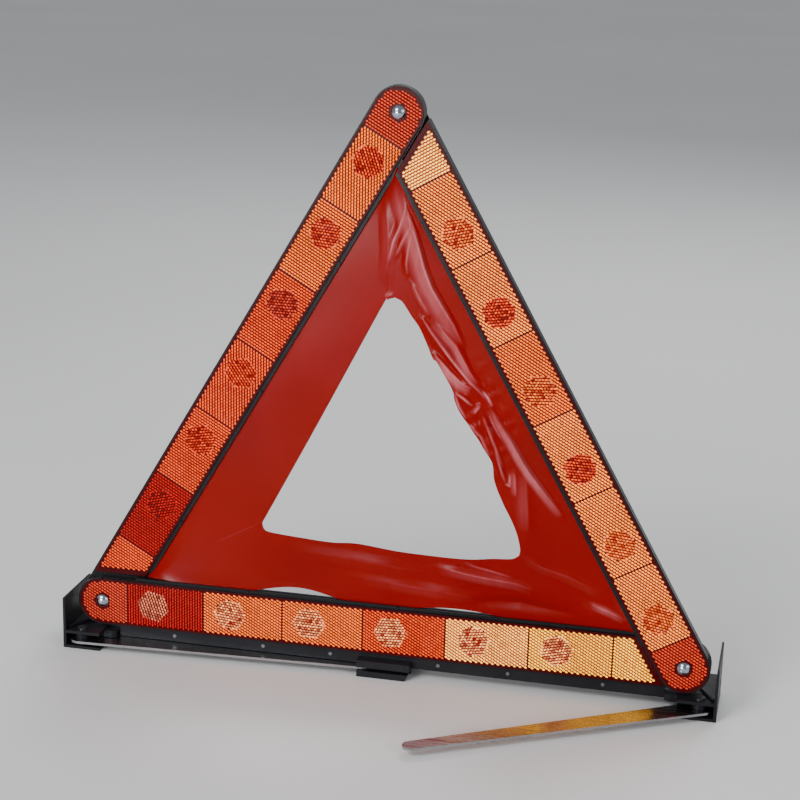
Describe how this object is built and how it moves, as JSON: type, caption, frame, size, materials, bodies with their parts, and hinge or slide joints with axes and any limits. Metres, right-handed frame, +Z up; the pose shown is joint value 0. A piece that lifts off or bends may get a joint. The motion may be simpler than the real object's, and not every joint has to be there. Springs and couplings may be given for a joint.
{
  "type": "warning triangle",
  "caption": "Folding warning triangle: three hinged reflector arms round a red film panel, on a low stand with swing-out steel legs.",
  "frame": {"origin": "centre of the footprint on the ground, midway between the feet left to right and between the swung-out leg's tip and the feet's rear edge front to back", "axes": "+X to the viewer's right, +Y to the rear, +Z up; the reflectors face -Y"},
  "size_m": [0.444, 0.1502, 0.3927],
  "materials": {
    "stand_plastic": "satin moulded plastic, black",
    "arm_plastic": "semi-gloss moulded plastic, black",
    "reflector_lens": "clear red-orange prismatic reflector, polished face",
    "red_film": "glossy red flexible PVC film",
    "leg_steel": "bright rolled steel strip",
    "leg_rivet": "zinc-plated rivet",
    "zinc_screw": "zinc-plated",
    "chrome_rivet": "polished domed rivet",
    "white_nylon": "natural nylon"
  },
  "bodies": {
    "root": {"base_bar": "stand_plastic", "left_foot": "stand_plastic", "right_foot": "stand_plastic", "leg_rest": "stand_plastic", "stand_screws": "zinc_screw", "leg_pins": "leg_rivet", "leg_bushes": "stand_plastic", "leg_spacers": "stand_plastic", "base_housing": "arm_plastic", "base_lens": "reflector_lens", "base_film": "red_film", "base_film_clips": "arm_plastic", "bar_pins": "zinc_screw", "left_pivot_rivet": "chrome_rivet", "right_pivot_rivet": "chrome_rivet", "pivot_washers": "white_nylon"},
    "right_arm": {"right_housing": "arm_plastic", "right_lens": "reflector_lens", "right_film": "red_film", "right_film_clips": "arm_plastic", "top_lug": "arm_plastic"},
    "left_arm": {"left_housing": "arm_plastic", "left_lens": "reflector_lens", "left_film": "red_film", "left_film_clips": "arm_plastic", "top_rivet": "chrome_rivet", "snap_knob": "arm_plastic"},
    "front_left_leg": {"front_left_leg": "leg_steel"},
    "front_right_leg": {"front_right_leg": "leg_steel"},
    "rear_left_leg": {"rear_left_leg": "leg_steel"},
    "rear_right_leg": {"rear_right_leg": "leg_steel"}
  },
  "joints": [
    {"name": "right_arm_fold", "type": "hinge", "parent": "root", "child": "right_arm", "pos_m": [0.199, 0.03759, 0.031], "axis": [0, -1, 0.0094], "range_deg": [0, 60], "deforming": ["right_film", "top_lug", "base_film"]},
    {"name": "left_arm_fold", "type": "hinge", "parent": "root", "child": "left_arm", "pos_m": [-0.199, 0.05058, 0.031], "axis": [0, 1, 0.0094], "range_deg": [0, 60], "deforming": ["left_film"]},
    {"name": "front_left_leg_swing", "type": "hinge", "parent": "root", "child": "front_left_leg", "pos_m": [-0.2105, 0.03309, 0.0054], "axis": [0, 0, -1], "range_deg": [0, 90]},
    {"name": "front_right_leg_swing", "type": "hinge", "parent": "root", "child": "front_right_leg", "pos_m": [0.2105, 0.03309, 0.0054], "axis": [0, 0, 1], "range_deg": [-34, 56]},
    {"name": "rear_left_leg_swing", "type": "hinge", "parent": "root", "child": "rear_left_leg", "pos_m": [-0.2105, 0.06509, 0.0054], "axis": [0, 0, 1], "range_deg": [0, 90]},
    {"name": "rear_right_leg_swing", "type": "hinge", "parent": "root", "child": "rear_right_leg", "pos_m": [0.2105, 0.06509, 0.0054], "axis": [0, 0, -1], "range_deg": [0, 90]}
  ],
  "couplings": [
    {"joint": "left_arm_fold", "follows": "right_arm_fold", "ratio": 1}
  ]
}
